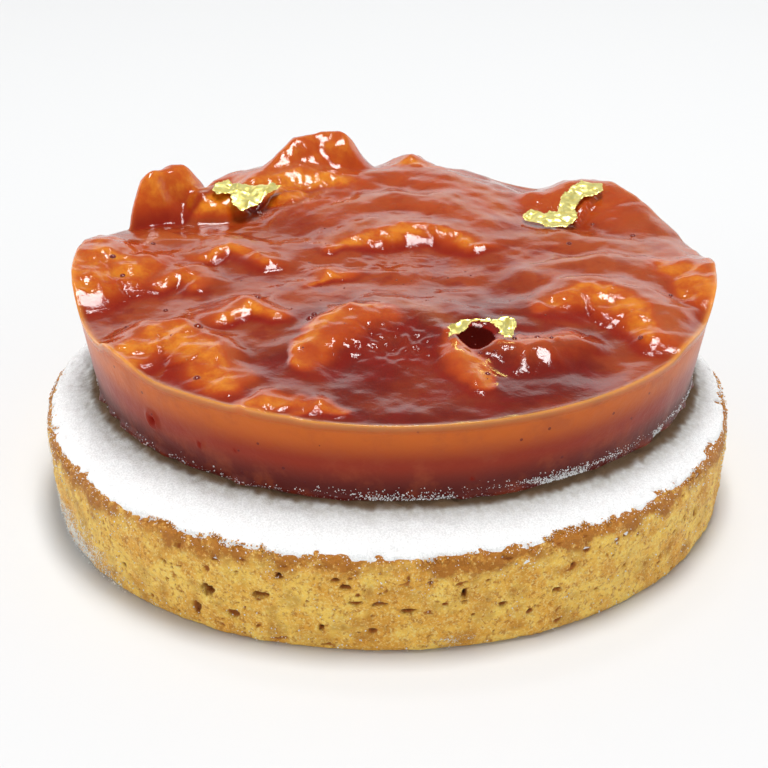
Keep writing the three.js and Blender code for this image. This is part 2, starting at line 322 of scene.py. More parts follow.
def icing_sugar():
    """A fuzzy skin with a ragged edge, damp with syrup and darkened with painted shade where it meets the
    apple layer's foot.
    """
    angle = np.linspace(-math.pi, math.pi, 1240, endpoint=False)
    rows = np.concatenate([np.linspace(30, 36, 28), np.linspace(36, 39.7, 26)[1:]])
    angles = np.tile(angle, len(rows))
    radius = np.repeat(rows, len(angle))
    edge = np.tile(sugar_edge(angle), len(rows))
    spot = around(radius, angles, np.zeros_like(radius))
    inside = np.clip((edge - radius) / 1.5, -0.5, 1)
    depth = SUGAR_DEPTH * np.sign(inside) * np.sqrt(np.abs(inside))
    holes = soft_step(cloud(spot, 0.8, 91), 0.1, 0.6) * soft_step(radius, 37.6, 39.0)
    depth = depth - 0.75 * holes * (0.5 + 0.5 * cloud(spot, 4.0, 92))
    fuzz = 0.07 * cloud(spot, 0.45, 93) + 0.1 * cloud(spot, 0.9, 94) + 0.12 * layered_cloud(spot, 2.6, 95)
    height = dome_height(radius) + depth + fuzz * soft_step(depth, -0.2, 0.4)
    height = height - 4.0 * np.maximum(radius - 39.3, 0)
    out = radius + unevenness(angles) * soft_step(radius, SEAT_RADIUS, BASE_RADIUS)
    place = around(out, angles, height)
    from_foot = np.hypot(place[:, 0] - APPLE_OFFSET[0], place[:, 1] - APPLE_OFFSET[1]) - APPLE_BOTTOM_RADIUS
    # painted shade and syrup: darkest at the apple layer's foot and gone about 3 mm out, where the
    # overhanging wall shades the sugar
    damp_and_shade = 1 - soft_step(from_foot + 0.22 * cloud(spot, 0.8, 96), 0.0, 3.2)
    return make_piece("sugar_skin", place, ring_faces(len(rows), len(angle)), {"damp_and_shade": damp_and_shade})


# Apple layer

def wall_radius(height):
    """Radius of the mould's wall at a height above the apple layer's underside."""
    return APPLE_BOTTOM_RADIUS + APPLE_TAPER * height


def smooth_max(a, b, width):
    """A maximum whose corner is rounded over about the given width."""
    return np.maximum(a, b) + width * np.log1p(np.exp(-np.abs(a - b) / width))


def block_height(block, x, y):
    """Height of one glazed block of apple, and how near each place is to its flesh."""
    at, size, top, turn, lean, bare = block
    turn = math.radians(turn)
    dx, dy = x - at[0], y - at[1]
    along = dx * math.cos(turn) + dy * math.sin(turn)
    across = -dx * math.sin(turn) + dy * math.cos(turn)
    corner = min(size) * 0.35
    over_x = np.abs(along) - size[0] / 2 + corner
    over_y = np.abs(across) - size[1] / 2 + corner
    outside = np.hypot(np.maximum(over_x, 0), np.maximum(over_y, 0))
    distance = outside + np.minimum(np.maximum(over_x, over_y), 0) - corner
    fall = 0.8 * np.log1p(np.exp(distance / 0.8))
    height = top + lean[0] * along + lean[1] * across - 1.9 * fall
    return height, bare * (1 - soft_step(distance, 0.0, 1.8))


def fold_height(fold, ground, x, y):
    """Height of one fold, how near flesh is, where glaze pools at its foot, and where a milky veil lies on
    its crest, partly a painted sheen.
    """
    crest, steep_right, steep_left, bare_right, bare_left = fold
    nearest = np.full_like(x, 1e9)
    right, top = np.zeros_like(x), np.zeros_like(x)
    for (x0, y0, z0), (x1, y1, z1) in zip(crest, crest[1:]):
        run_x, run_y = x1 - x0, y1 - y0
        share = np.clip(((x - x0) * run_x + (y - y0) * run_y) / (run_x**2 + run_y**2), 0, 1)
        away = np.hypot(x - x0 - share * run_x, y - y0 - share * run_y)
        side = (x - x0) * run_y - (y - y0) * run_x
        closer = away < nearest
        nearest = np.where(closer, away, nearest)
        side = side / (math.hypot(run_x, run_y) * (away + 0.5))
        right = np.where(closer, soft_step(side, -0.8, 0.8), right)
        top = np.where(closer, z0 + share * (z1 - z0), top)
    steep = steep_left + (steep_right - steep_left) * right
    bend = np.clip(1.0 / steep, 1.4, 3.2)
    height = top - steep * (np.hypot(nearest, bend) - bend) - 0.012 * nearest**2
    bare = bare_left + (bare_right - bare_left) * right
    fallen = (top - height) / np.maximum(top - ground, 0.3)
    pool = right * bare_right * np.exp(-(((fallen - 1.0) / 0.4) ** 2))
    sheen_veil = np.exp(-((fallen / 0.3) ** 2)) * (1 - 0.6 * right)
    return height, bare * (1 - soft_step(fallen, 0.1, 1.2)), pool, sheen_veil


def crinkle_at(x, y):
    """How much the thin skin on the glaze crinkles."""
    front = np.exp(-(((x - GLAZE_CRINKLE[0]) / 6.5) ** 2) - ((y - GLAZE_CRINKLE[1]) / 5.5) ** 2)
    middle = np.exp(-(((x + 3) / 7.0) ** 2) - ((y - 2.5) / 3.5) ** 2)
    return np.maximum(front, 0.6 * middle)


def glaze_top(x, y):
    """Height of the glazed top, how near apple each place is, how deep the glaze is with painted shade in the
    hollow under the gold leaf, and how strong its milky veil is, partly a painted sheen.
    """
    spot = np.stack([x, y, np.zeros_like(x)], 1)
    bent_x = x + 0.8 * cloud(spot, 4.5, 101) + 0.35 * cloud(spot, 1.9, 102)
    bent_y = y + 0.8 * cloud(spot, 4.5, 103) + 0.35 * cloud(spot, 1.9, 104)
    radius = np.hypot(x, y)
    ground = APPLE_LEVEL + 1.5 * (1 - soft_step(radius, 13, 38))
    ground = ground + 0.36 * cloud(spot, 6.0, 105) * (1 - soft_step(radius, 33, 36))
    height, flesh, deep_and_shaded, milky_sheen = ground, np.zeros_like(x), np.zeros_like(x), np.zeros_like(x)
    for fold in APPLE_FOLDS:
        standing, near, pool, sheen_veil = fold_height(fold, ground, bent_x, bent_y)
        shown = soft_step(standing - height, -0.9, 0.5)
        flesh = flesh + (near - flesh) * shown
        milky_sheen = np.maximum(milky_sheen * (1 - shown), sheen_veil * shown)
        uncovered = 1 - shown * soft_step(near, 0.1, 0.6)
        deep_and_shaded = np.maximum(deep_and_shaded * uncovered, pool * soft_step(standing - height, -1.2, 0.0))
        height = smooth_max(height, standing, 0.3)
    for block in APPLE_BLOCKS:
        standing, near = block_height(block, bent_x, bent_y)
        flesh = np.maximum(flesh, near * soft_step(standing - height, -0.8, 0.6))
        height = smooth_max(height, standing, 0.35)
    from_hollow = np.hypot((x - GLAZE_HOLLOW[0]) / 2.0, (y - GLAZE_HOLLOW[1]) / 2.5)
    shaded_hollow = np.exp(-(from_hollow**2.8))
    height = height - 1.6 * shaded_hollow
    pebbles = 0.21 * cloud(spot, 1.6, 106) + 0.09 * cloud(spot, 0.85, 107)
    height = height + pebbles * soft_step(flesh, 0.15, 0.75)
    uneven = 0.16 * cloud(spot, 2.9, 108) + 0.05 * cloud(spot, 1.3, 114)
    height = height + uneven * (1 - soft_step(radius, 34, 36.3))
    height = height + crinkle_at(x, y) * (0.18 * cloud(spot, 1.15, 109) + 0.12 * cloud(spot, 0.62, 110))
    skin = np.exp(-(((x - GLAZE_CRINKLE[0] - 2) / 5.5) ** 2) - ((y - GLAZE_CRINKLE[1] + 3) / 5.0) ** 2)
    deep_and_shaded = np.maximum(deep_and_shaded, 0.45 * skin * (1 - soft_step(flesh, 0.1, 0.5)))
    # painted shade: the hollow under the front gold leaf is marked to be painted near black
    deep_and_shaded = np.maximum(deep_and_shaded, soft_step(shaded_hollow, 0.08, 0.4) * 1.6)
    return height, flesh * (1 - shaded_hollow), deep_and_shaded, milky_sheen


def rim_height(angle):
    """How high the wall reaches in a direction, where the uneven top meets the mould's side."""
    height = np.full_like(angle, APPLE_LEVEL)
    for _ in range(6):
        radius = wall_radius(height)
        height = glaze_top(radius * np.cos(angle), radius * np.sin(angle))[0]
    return height


def round_grid(steps):
    """A square grid of points spread evenly over a disc of radius 1, as distances and directions."""
    across, down = np.meshgrid(np.linspace(-1, 1, steps + 1), np.linspace(-1, 1, steps + 1))
    wide = np.abs(across) >= np.abs(down)
    distance = np.where(wide, across, down)
    safe = np.where(distance == 0, 1, distance)
    turn = np.where(wide, down / safe, 2 - across / safe) * math.pi / 4
    return (distance * np.cos(turn)).ravel(), (distance * np.sin(turn)).ravel()


def grid_outline(steps):
    """Indices of the points round the edge of a square grid, in order."""
    side = steps + 1
    front = [i for i in range(steps)]
    right = [i * side + steps for i in range(steps)]
    back = [steps * side + steps - i for i in range(steps)]
    left = [(steps - i) * side for i in range(steps)]
    return front + right + back + left


# Bubbles caught at the mould's wall: direction in degrees, height and radius
WALL_BUBBLES = [(-137.1, 4.1, 0.85), (-125.5, 3.5, 0.4), (-118.0, 4.2, 0.22), (-77.0, 2.5, 0.25)]


def wall_ring(angle, height, row):
    """One ring of points round the mould's wall, and the painted shade that darkens the middles of its
    bubbles.
    """
    out = wall_radius(height)
    ring = around(out, angle, height)
    ripple = 0.1 * cloud(ring * [1, 1, 0.6], 9.0, 111) + 0.05 * cloud(ring, 2.5, 112)
    foot = 0.35 * (1 - soft_step(height, 0, 0.9)) * (0.4 + cloud(ring, 1.8, 113))
    shade = np.zeros_like(out)
    for direction, level, size in WALL_BUBBLES:
        aside = np.radians(np.degrees(angle) - direction) * 35.8
        away = np.hypot(aside, height - level) / size
        rim, dip = np.exp(-((away - 1) ** 2) / 0.12), np.exp(-(away**2) / 0.3)
        ripple = ripple + 0.3 * size * rim - 0.3 * size * dip
        shade = np.maximum(shade, 1.2 * np.exp(-(away**2) / 0.8))
    out = out + (ripple + foot) * soft_step(row, 0, 3)
    return around(out, angle, height), shade


def apple_faces(edge):
    """Faces of the top's grid, of the wall's rings below its edge, and of the underside."""
    side = TOP_STEPS + 1
    corners = [row * side + column for row in range(TOP_STEPS) for column in range(TOP_STEPS)]
    faces = [[corner, corner + 1, corner + side + 1, corner + side] for corner in corners]
    firsts = [side**2 + i * len(edge) for i in range(WALL_ROWS)]
    rings = [edge] + [list(range(first, first + len(edge))) for first in firsts]
    for upper, lower in zip(rings[:-1], rings[1:]):
        for i in range(len(edge)):
            j = (i + 1) % len(edge)
            faces.append([upper[i], lower[i], lower[j], upper[j]])
    faces.append(rings[-1][::-1])
    return faces


def glazed_apple():
    """The uneven glazed top and the mould's wall under its edge, as one closed piece."""
    unit_x, unit_y = round_grid(TOP_STEPS)
    angle = np.arctan2(unit_y, unit_x)
    share = np.hypot(unit_x, unit_y)
    radius = share * wall_radius(rim_height(angle))
    x, y = radius * np.cos(angle), radius * np.sin(angle)
    top, flesh, deep_and_shaded, milky_sheen = glaze_top(x, y)
    # a raised lip at the rim, partly thin amber glaze and partly a painted highlight in lighter amber
    lip_glint_shown = 1 - 0.75 * soft_step(y, -12, 8)  # all of it in front, and less at the back
    lip_glint = np.exp(-(((1 - share) * APPLE_RIM_RADIUS / 0.45) ** 2)) * lip_glint_shown
    top = top + 0.2 * lip_glint
    # painted reflection: the glaze top is painted lighter away from the front middle, as if mirroring the
    # bright backdrop
    far_sheen = soft_step(np.hypot((x - 3) / 1.3, (y + 24) / 1.1), 9, 24)
    points = [np.stack([x, y, top], 1)]
    values = {"flesh": [flesh], "deep_and_shaded": [deep_and_shaded], "far_sheen": [far_sheen], "milky_sheen": [milky_sheen], "lip_glint": [lip_glint]}
    values["wall"] = [np.zeros_like(x)]

    edge = grid_outline(TOP_STEPS)
    for row, level in enumerate(np.linspace(1, 0, WALL_ROWS + 1)[1:]):
        height = top[edge] * level
        ring, shade = wall_ring(angle[edge], height, row)
        points.append(ring)
        values["flesh"].append(flesh[edge])
        values["deep_and_shaded"].append(shade)
        values["far_sheen"].append(far_sheen[edge])
        values["milky_sheen"].append(milky_sheen[edge])
        values["wall"].append(np.ones_like(height) * soft_step(row, -1, 2))
        values["lip_glint"].append(np.exp(-(((top[edge] - height) / 0.5) ** 2)) * lip_glint_shown[edge])
    place = np.concatenate(points) + APPLE_PLACE
    values = {name: np.concatenate(parts) for name, parts in values.items()}
    return make_piece("apple_in_glaze", place, apple_faces(edge), values)


# Gold leaf

FOIL_STEP = 0.15
FOIL_THICKNESS = 0.04

# Scraps of gold leaf: the outline of each as (x, y, height) points in the apple layer's frame
GOLD_LEAVES = {
    "gold_leaf_left": [
        (-22.9, 20.8, 13.6), (-22.4, 22.6, 13.8), (-21.0, 23.6, 13.9), (-19.6, 22.8, 13.7),
        (-13.9, 22.8, 13.6), (-15.6, 20.2, 13.2), (-17.0, 18.4, 12.6), (-18.8, 17.0, 12.0),
        (-20.0, 18.6, 12.6), (-20.4, 20.4, 13.2), (-21.6, 19.9, 13.3),
    ],
    "gold_leaf_front": [
        (5.9, -19.3, 11.6), (5.8, -18.4, 12.5), (6.8, -18.0, 12.9), (7.8, -18.0, 13.1), (9.4, -18.2, 13.6),
        (11.6, -18.3, 13.6), (13.5, -18.2, 13.5), (13.3, -19.0, 12.6), (12.7, -20.0, 11.7),
        (11.6, -20.1, 11.6), (11.2, -19.2, 12.4), (10.2, -18.6, 13.1), (9.2, -18.5, 13.2), (7.9, -18.5, 12.7),
        (7.0, -19.0, 11.9),
    ],
    "gold_leaf_back": [
        (15.9, 15.2, 11.9), (15.6, 16.8, 12.1), (17.0, 17.6, 12.3), (18.4, 16.4, 12.3), (20.2, 16.4, 12.4),
        (20.6, 19.4, 12.9), (21.8, 22.2, 13.4), (23.6, 23.8, 13.7), (26.4, 23.4, 13.6), (26.2, 21.0, 13.2),
        (23.6, 19.6, 12.9), (22.4, 17.8, 12.6), (22.4, 14.6, 12.2), (21.0, 12.4, 11.8), (18.2, 12.8, 11.8),
    ],
}


def inside_outline(x, y, outline):
    """Which points lie inside a closed outline."""
    inside = np.zeros(x.shape, bool)
    for (x0, y0), (x1, y1) in zip(outline, np.roll(outline, -1, axis=0)):
        if y0 != y1:
            crosses = (y0 > y) != (y1 > y)
            inside ^= crosses & (x < (x1 - x0) * (y - y0) / (y1 - y0) + x0)
    return inside


def gold_leaf(name, outline, seed):
    """A crumpled foil with torn edges, spread over the sheet that its outline bends through."""
    corners = np.array(outline)
    middle = corners.mean(0)
    axes = np.linalg.svd(corners - middle)[2]
    flat = (corners - middle) @ axes.T
    low, high = flat[:, :2].min(0) - 0.4, flat[:, :2].max(0) + 0.4
    columns, rows = ((high - low) / FOIL_STEP).astype(int) + 2
    u, v = np.meshgrid(low[0] + FOIL_STEP * np.arange(columns), low[1] + FOIL_STEP * np.arange(rows))
    u, v = u.ravel(), v.ravel()
    spot = np.stack([u, v, np.zeros_like(u)], 1)
    torn_u = u + 0.25 * cloud(spot, 1.1, seed) + 0.12 * cloud(spot, 0.4, seed + 1)
    torn_v = v + 0.25 * cloud(spot, 1.1, seed + 2) + 0.12 * cloud(spot, 0.4, seed + 3)
    kept = inside_outline(torn_u, torn_v, flat[:, :2])
    near = np.exp(-((u[:, None] - flat[:, 0]) ** 2 + (v[:, None] - flat[:, 1]) ** 2) / 1.2) + 1e-9
    bend = (near * flat[:, 2]).sum(1) / near.sum(1)
    creases = np.abs(cloud(spot, 1.4, seed + 4)) + 0.4 * np.abs(cloud(spot, 0.7, seed + 5))
    sheet = middle + np.stack([u, v, bend + 0.3 * (0.4 - creases)], 1) @ axes
    surface = glaze_top(sheet[:, 0], sheet[:, 1])[0]
    sheet[:, 2] = np.maximum(sheet[:, 2], surface + 0.24 + 0.12 * creases)
    used = kept.reshape(rows, columns)
    cells = used[:-1, :-1] & used[1:, :-1] & used[:-1, 1:] & used[1:, 1:]
    index = np.arange(rows * columns).reshape(rows, columns)
    faces = np.stack([index[:-1, :-1], index[:-1, 1:], index[1:, 1:], index[1:, :-1]], -1)[cells]
    wanted, faces = np.unique(faces, return_inverse=True)
    foil = make_piece(name + "_foil", sheet[wanted] + APPLE_PLACE, faces.reshape(-1, 4).tolist(), {})
    thickness = foil.modifiers.new("thickness", "SOLIDIFY")
    thickness.thickness = FOIL_THICKNESS * MM
    return foil


# Bubbles in the glaze: place and radius in the apple layer's frame
GLAZE_BUBBLES = [
    (-21.7, -15.8, 0.6), (-9.4, -13.4, 0.5), (-9.0, -11.9, 0.4), (-26.0, -8.0, 0.35), (-15.5, -8.9, 0.4),
    (-30.0, -12.0, 0.3), (-29.0, 9.0, 0.35), (-21.0, -26.5, 0.45), (29.0, 12.0, 0.4), (24.5, 16.0, 0.3),
    (9.2, -21.5, 0.3), (9.8, -26.0, 0.35), (13.0, -18.6, 0.35), (15.5, -18.8, 0.4), (17.0, -19.2, 0.3),
    (27.0, -17.0, 0.35), (31.5, -6.0, 0.3), (-33.0, 2.0, 0.4), (-31.5, -1.5, 0.35), (21.0, 8.5, 0.35),
]


def glaze_bubbles():
    """Low round bubbles that show on the glaze, as one mesh."""
    turns, levels = 14, 6
    angle = np.linspace(0, 2 * math.pi, turns, endpoint=False)
    slope = np.linspace(0.15, math.pi / 2, levels)
    chance = np.random.default_rng(31)
    tiny = np.stack([chance.normal(0, 14, 50), chance.normal(-8, 12, 50), chance.uniform(0.08, 0.15, 50)], 1)
    bubbles = np.concatenate([np.array(GLAZE_BUBBLES), tiny[np.hypot(tiny[:, 0], tiny[:, 1]) < 34]])
    tops = glaze_top(bubbles[:, 0], bubbles[:, 1])[0]
    points, faces = [], []
    for (x, y, size), top in zip(bubbles, tops):
        first = len(points) * turns * levels
        faces += ring_faces(levels, turns, first) + [list(range(first, first + turns))[::-1]]
        out, up = np.sin(slope)[:, None] * size, np.cos(slope)[:, None] * size * 0.75
        ring = [x + out * np.cos(angle), y + out * np.sin(angle), top - 0.25 * size + up + 0 * angle]
        points.append(np.stack([part.ravel() for part in ring], 1))
    faces = [face[::-1] for face in faces]
    return make_piece("glaze_bubbles", np.concatenate(points) + APPLE_PLACE, faces, {})


# Loose grains and crumbs

def scatter(name, places, sizes, seed):
    """Small uneven eight-sided grains at the given places, as one mesh."""
    chance = np.random.default_rng(seed)
    corners = np.array([[1, 0, 0], [-1, 0, 0], [0, 1, 0], [0, -1, 0], [0, 0, 1], [0, 0, -1]], float)
    sides = np.array([[0, 2, 4], [2, 1, 4], [1, 3, 4], [3, 0, 4], [2, 0, 5], [1, 2, 5], [3, 1, 5], [0, 3, 5]])
    turns = np.linalg.qr(chance.normal(size=(len(places), 3, 3)))[0]
    uneven = corners * chance.uniform(0.6, 1.25, (len(places), 6, 1))
    points = places[:, None] + np.einsum("nij,nkj->nki", turns, uneven) * sizes[:, None, None]
    faces = (sides[None] + 6 * np.arange(len(places))[:, None, None]).reshape(-1, 3)
    return make_piece(name, points.reshape(-1, 3), faces.tolist(), {})


def sugar_grains():
    """Loose sugar on the biscuit's edge and side, and on the foot of the apple layer's wall."""
    chance = np.random.default_rng(7)
    places, sizes = [], []

    def lay(radius, angle, height, smallest, largest, middle=(0, 0, 0)):
        places.append(around(radius, angle, height) + middle)
        sizes.append(chance.uniform(smallest, largest, len(angle)))

    angle = chance.uniform(-math.pi, math.pi, 3400)
    radius = sugar_edge(angle) + chance.normal(0.3, 0.5, len(angle))
    height = dome_height(np.minimum(radius, 39.6)) + 0.1 - 0.9 * np.clip(radius - 39.4, 0, 0.5)
    height = height - 3.5 * np.maximum(radius - 39.8, 0)
    radius = np.minimum(radius, side_radius(height) + 0.03)
    lay(radius + unevenness(angle), angle, height, 0.035, 0.1)

    angle = np.concatenate([chance.uniform(2.4, 3.9, 600), chance.uniform(-math.pi, math.pi, 700)])
    height = np.clip(chance.exponential(2.4, len(angle)), 0.2, 10)
    lay(side_radius(height) + 0.02 + unevenness(angle), angle, height, 0.05, 0.13)

    angle = np.radians(chance.normal(-79.5, 3.5, 260))
    height = np.clip(chance.normal(1.5, 0.6, len(angle)), 0.2, 3.2)
    lay(side_radius(height) - 0.1 + unevenness(angle), angle, height, 0.04, 0.12)

    for direction, spread, count in ((-93, 6, 260), (-57, 15, 1500), (-30, 9, 300), (-75, 60, 500)):
        angle = np.radians(chance.normal(direction, spread, count))
        height = np.abs(chance.normal(0, 0.55, count)) + 0.05
        lay(wall_radius(height) + 0.04, angle, height, 0.04, 0.11, APPLE_PLACE)
    return scatter("sugar_grains", np.concatenate(places), np.concatenate(sizes), 8)


def biscuit_crumbs():
    """Crumbs along the edge of the sugar, in patches."""
    chance = np.random.default_rng(17)
    angle = chance.uniform(-math.pi, math.pi, 4600)
    ring = around(BASE_RADIUS, angle, np.zeros_like(angle))
    angle = angle[cloud(ring, 4.0, 171) + 0.6 * cloud(ring, 1.5, 172) > 0.1]
    radius = sugar_edge(angle) + chance.normal(-0.1, 0.35, len(angle))
    height = dome_height(np.minimum(radius, 39.4)) + 0.05 - 0.8 * np.clip(radius - 39.3, 0, 0.6)
    radius = np.minimum(radius, 39.85) + unevenness(angle)
    sizes = chance.uniform(0.05, 0.16, len(angle))
    return scatter("biscuit_crumbs", around(radius, angle, height), sizes, 18)


# Looks

def add(tree, kind, inputs=None, **settings):
    """Adds a node. Its inputs are given as numbers or as the sockets that feed them."""
    made = tree.nodes.new(kind)
    for name, value in settings.items():
        setattr(made, name, value)
    for name, value in (inputs or {}).items():
        if isinstance(value, bpy.types.NodeSocket):
            tree.links.new(value, made.inputs[name])
        else:
            made.inputs[name].default_value = value
    return made


def calc(tree, operation, a, b=0.0, clamp=False):
    return add(tree, "ShaderNodeMath", {0: a, 1: b}, operation=operation, use_clamp=clamp).outputs[0]


def mix(tree, share, a, b):
    return add(tree, "ShaderNodeMix", {0: share, 6: a, 7: b}, data_type="RGBA").outputs[2]


def between(tree, value, low, high):
    """Goes smoothly from 0 to 1 as the value goes from low to high."""
    inputs = {"Value": value, "From Min": low, "From Max": high}
    return add(tree, "ShaderNodeMapRange", inputs, interpolation_type="SMOOTHSTEP").outputs[0]


def swing(tree, value, amount, middle=0.5):
    """How far a value lies from its middle, times an amount."""
    return calc(tree, "MULTIPLY", calc(tree, "SUBTRACT", value, middle), amount)


def stored(tree, name):
    return add(tree, "ShaderNodeAttribute", attribute_name=name).outputs["Fac"]


def grain(tree, place, scale, detail, roughness):
    inputs = {"Vector": place, "Scale": scale, "Detail": detail, "Roughness": roughness}
    return add(tree, "ShaderNodeTexNoise", inputs).outputs["Fac"]


def start_look(name):
    """A new material, its node tree, its main shader and the place on the object."""
    look = bpy.data.materials.new(name)
    look.use_nodes = True
    tree = look.node_tree
    shader = tree.nodes["Principled BSDF"]
    place = add(tree, "ShaderNodeTexCoord").outputs["Object"]
    return look, tree, shader, place


def start_effect(name, inputs, outputs):
    """A new shader node group with float inputs, given as name: usual value, and the given outputs."""
    tree = bpy.data.node_groups.new(name, "ShaderNodeTree")
    tree.interface.new_socket("Place", in_out="INPUT", socket_type="NodeSocketVector")
    for socket_name, usual in inputs.items():
        socket = tree.interface.new_socket(socket_name, in_out="INPUT", socket_type="NodeSocketFloat")
        socket.default_value = usual
    for socket_name, kind in outputs.items():
        tree.interface.new_socket(socket_name, in_out="OUTPUT", socket_type=kind)
    return tree, tree.nodes.new("NodeGroupInput").outputs, tree.nodes.new("NodeGroupOutput").inputs


def use_effect(tree, effect, place, **inputs):
    return add(tree, "ShaderNodeGroup", {"Place": place, **inputs}, node_tree=effect).outputs


def dusting_effect():
    """Where fine sugar lies: patches of specks that close up as the amount goes to 1."""
    tree, given, result = start_effect("sugar dusting", {"Amount": 0.5}, {"Mask": "NodeSocketFloat"})
    specks = grain(tree, given["Place"], 4200.0, 2.0, 0.6)
    patches = grain(tree, given["Place"], 700.0, 2.0, 0.5)
    cover = calc(tree, "ADD", calc(tree, "MULTIPLY", specks, 0.75), calc(tree, "MULTIPLY", patches, 0.25))
    limit = calc(tree, "SUBTRACT", 0.76, calc(tree, "MULTIPLY", given["Amount"], 0.4))
    above = calc(tree, "MULTIPLY", calc(tree, "SUBTRACT", cover, limit), 14.0, clamp=True)
    tree.links.new(above, result["Mask"])
    return tree


def crumb_effect():
    """Baked crumb: mottled golden tones with painted glints, painted shade in the pits and holes, and a fine
    uneven height.
    """
    outputs = {"Tone": "NodeSocketColor", "Height": "NodeSocketFloat"}
    tree, given, result = start_effect("baked crumb", {"Baked": 0.0, "Hollow": 0.0}, outputs)
    broad = between(tree, grain(tree, given["Place"], 320.0, 4.0, 0.65), 0.38, 0.62)
    fine = between(tree, grain(tree, given["Place"], 1700.0, 3.0, 0.65), 0.3, 0.54)
    golden = mix(tree, broad, (0.84, 0.42, 0.05, 1), (1.0, 0.68, 0.13, 1))
    specked = mix(tree, fine, (0.56, 0.22, 0.025, 1), golden)
    # painted glints: bright specks painted into the crumb's colour
    glints = between(tree, grain(tree, given["Place"], 3600.0, 3.0, 0.7), 0.52, 0.62)
    specked = mix(tree, calc(tree, "MULTIPLY", glints, 0.6), specked, (1.0, 0.84, 0.34, 1))
    spread = calc(tree, "ADD", given["Baked"], swing(tree, fine, 0.7, 0.6))
    browned = mix(tree, between(tree, spread, 0.2, 0.95), specked, (0.44, 0.16, 0.013, 1))
    # painted shade: browner in shallow pits and near black in the deep holes
    pit_shade = mix(tree, between(tree, given["Hollow"], 0.05, 0.4), browned, (0.42, 0.13, 0.018, 1))
    deep_and_shaded = mix(tree, between(tree, given["Hollow"], 0.4, 0.85), pit_shade, (0.04, 0.009, 0.003, 1))
    tree.links.new(deep_and_shaded, result["Tone"])
    tree.links.new(grain(tree, given["Place"], 3000.0, 4.0, 0.7), result["Height"])
    return tree


def bump(tree, height, distance):
    inputs = {"Height": height, "Distance": distance, "Strength": 1.0}
    return add(tree, "ShaderNodeBump", inputs).outputs["Normal"]


def biscuit_look(crumb, dusting):
    look, tree, shader, place = start_look("baked biscuit")
    baked = use_effect(tree, crumb, place, Baked=stored(tree, "baked"), Hollow=stored(tree, "shaded_hollow"))
    dust = use_effect(tree, dusting, place, Amount=stored(tree, "dusted"))["Mask"]
    colour = mix(tree, dust, baked["Tone"], (0.97, 0.93, 0.84, 1))
    tree.links.new(colour, shader.inputs["Base Color"])
    height = calc(tree, "ADD", baked["Height"], calc(tree, "MULTIPLY", dust, 0.3))
    tree.links.new(bump(tree, height, 0.00045), shader.inputs["Normal"])
    shader.inputs["Roughness"].default_value = 0.5
    shader.inputs["Specular IOR Level"].default_value = 0.3
    return look


def crumbs_look(crumb):
    look, tree, shader, place = start_look("browned crumbs")
    baked = use_effect(tree, crumb, place, Baked=0.55)
    tree.links.new(baked["Tone"], shader.inputs["Base Color"])
    tree.links.new(bump(tree, baked["Height"], 0.0002), shader.inputs["Normal"])
    shader.inputs["Roughness"].default_value = 0.8
    return look


def sugar_look(name, relief):
    look, tree, shader, place = start_look(name)
    specks = grain(tree, place, 5200.0, 3.0, 0.7)
    colour = mix(tree, between(tree, specks, 0.34, 0.66), (0.72, 0.73, 0.73, 1), (0.9, 0.91, 0.91, 1))
    fuzz = between(tree, grain(tree, place, 1300.0, 3.0, 0.7), 0.35, 0.65)
    patchy = calc(tree, "ADD", 0.35, calc(tree, "MULTIPLY", fuzz, 0.65))
    # painted shade and syrup near the apple layer's foot: grey, then brown right at the foot
    damp_and_shade = calc(tree, "MULTIPLY", stored(tree, "damp_and_shade"), patchy)
    colour = mix(tree, calc(tree, "MULTIPLY", damp_and_shade, 0.75), colour, (0.4, 0.37, 0.29, 1))
    colour = mix(tree, between(tree, stored(tree, "damp_and_shade"), 0.7, 1.0), colour, (0.2, 0.125, 0.07, 1))
    tree.links.new(colour, shader.inputs["Base Color"])
    tree.links.new(bump(tree, specks, relief), shader.inputs["Normal"])
    shader.inputs["Roughness"].default_value = 0.95
    shader.inputs["Specular IOR Level"].default_value = 0.2
    return look


def glazed_top_colour(tree, place):
    """Dark glaze that pools between the pieces, painted lighter away from the front middle as a painted
    reflection, amber where apple is near, and a milky veil that is partly a painted sheen.
    """
    fibres = grain(tree, place, 420.0, 4.0, 0.6)
    streaks = between(tree, grain(tree, place, 130.0, 3.0, 0.5), 0.35, 0.65)
    clots = between(tree, grain(tree, place, 270.0, 3.0, 0.55), 0.48, 0.64)

    # painted reflection, broken by flow streaks: lighter glaze away from the front middle
    far_sheen = between(tree, calc(tree, "ADD", stored(tree, "far_sheen"), swing(tree, streaks, 0.7)), -0.2, 1.1)
    glaze = mix(tree, far_sheen, (0.12, 0.007, 0.003, 1), (0.28, 0.042, 0.008, 1))
    glaze = mix(tree, calc(tree, "MULTIPLY", clots, 0.55), glaze, (0.17, 0.006, 0.003, 1))
    apple = mix(tree, between(tree, fibres, 0.35, 0.65), (0.44, 0.085, 0.005, 1), (0.6, 0.2, 0.012, 1))

    nearness = calc(tree, "ADD", stored(tree, "flesh"), swing(tree, fibres, 0.5))
    colour = mix(tree, between(tree, nearness, 0.0, 0.6), glaze, (0.36, 0.042, 0.004, 1))
    colour = mix(tree, between(tree, nearness, 0.4, 1.1), colour, apple)
    patchy = calc(tree, "ADD", 0.3, calc(tree, "MULTIPLY", fibres, 0.8))
    # milky veil on the crests: partly milky glaze, partly a painted sheen of the bright backdrop
    milky_sheen = calc(tree, "MULTIPLY", stored(tree, "milky_sheen"), patchy)
    return mix(tree, calc(tree, "MULTIPLY", milky_sheen, 0.55, clamp=True), colour, (0.4, 0.115, 0.032, 1))


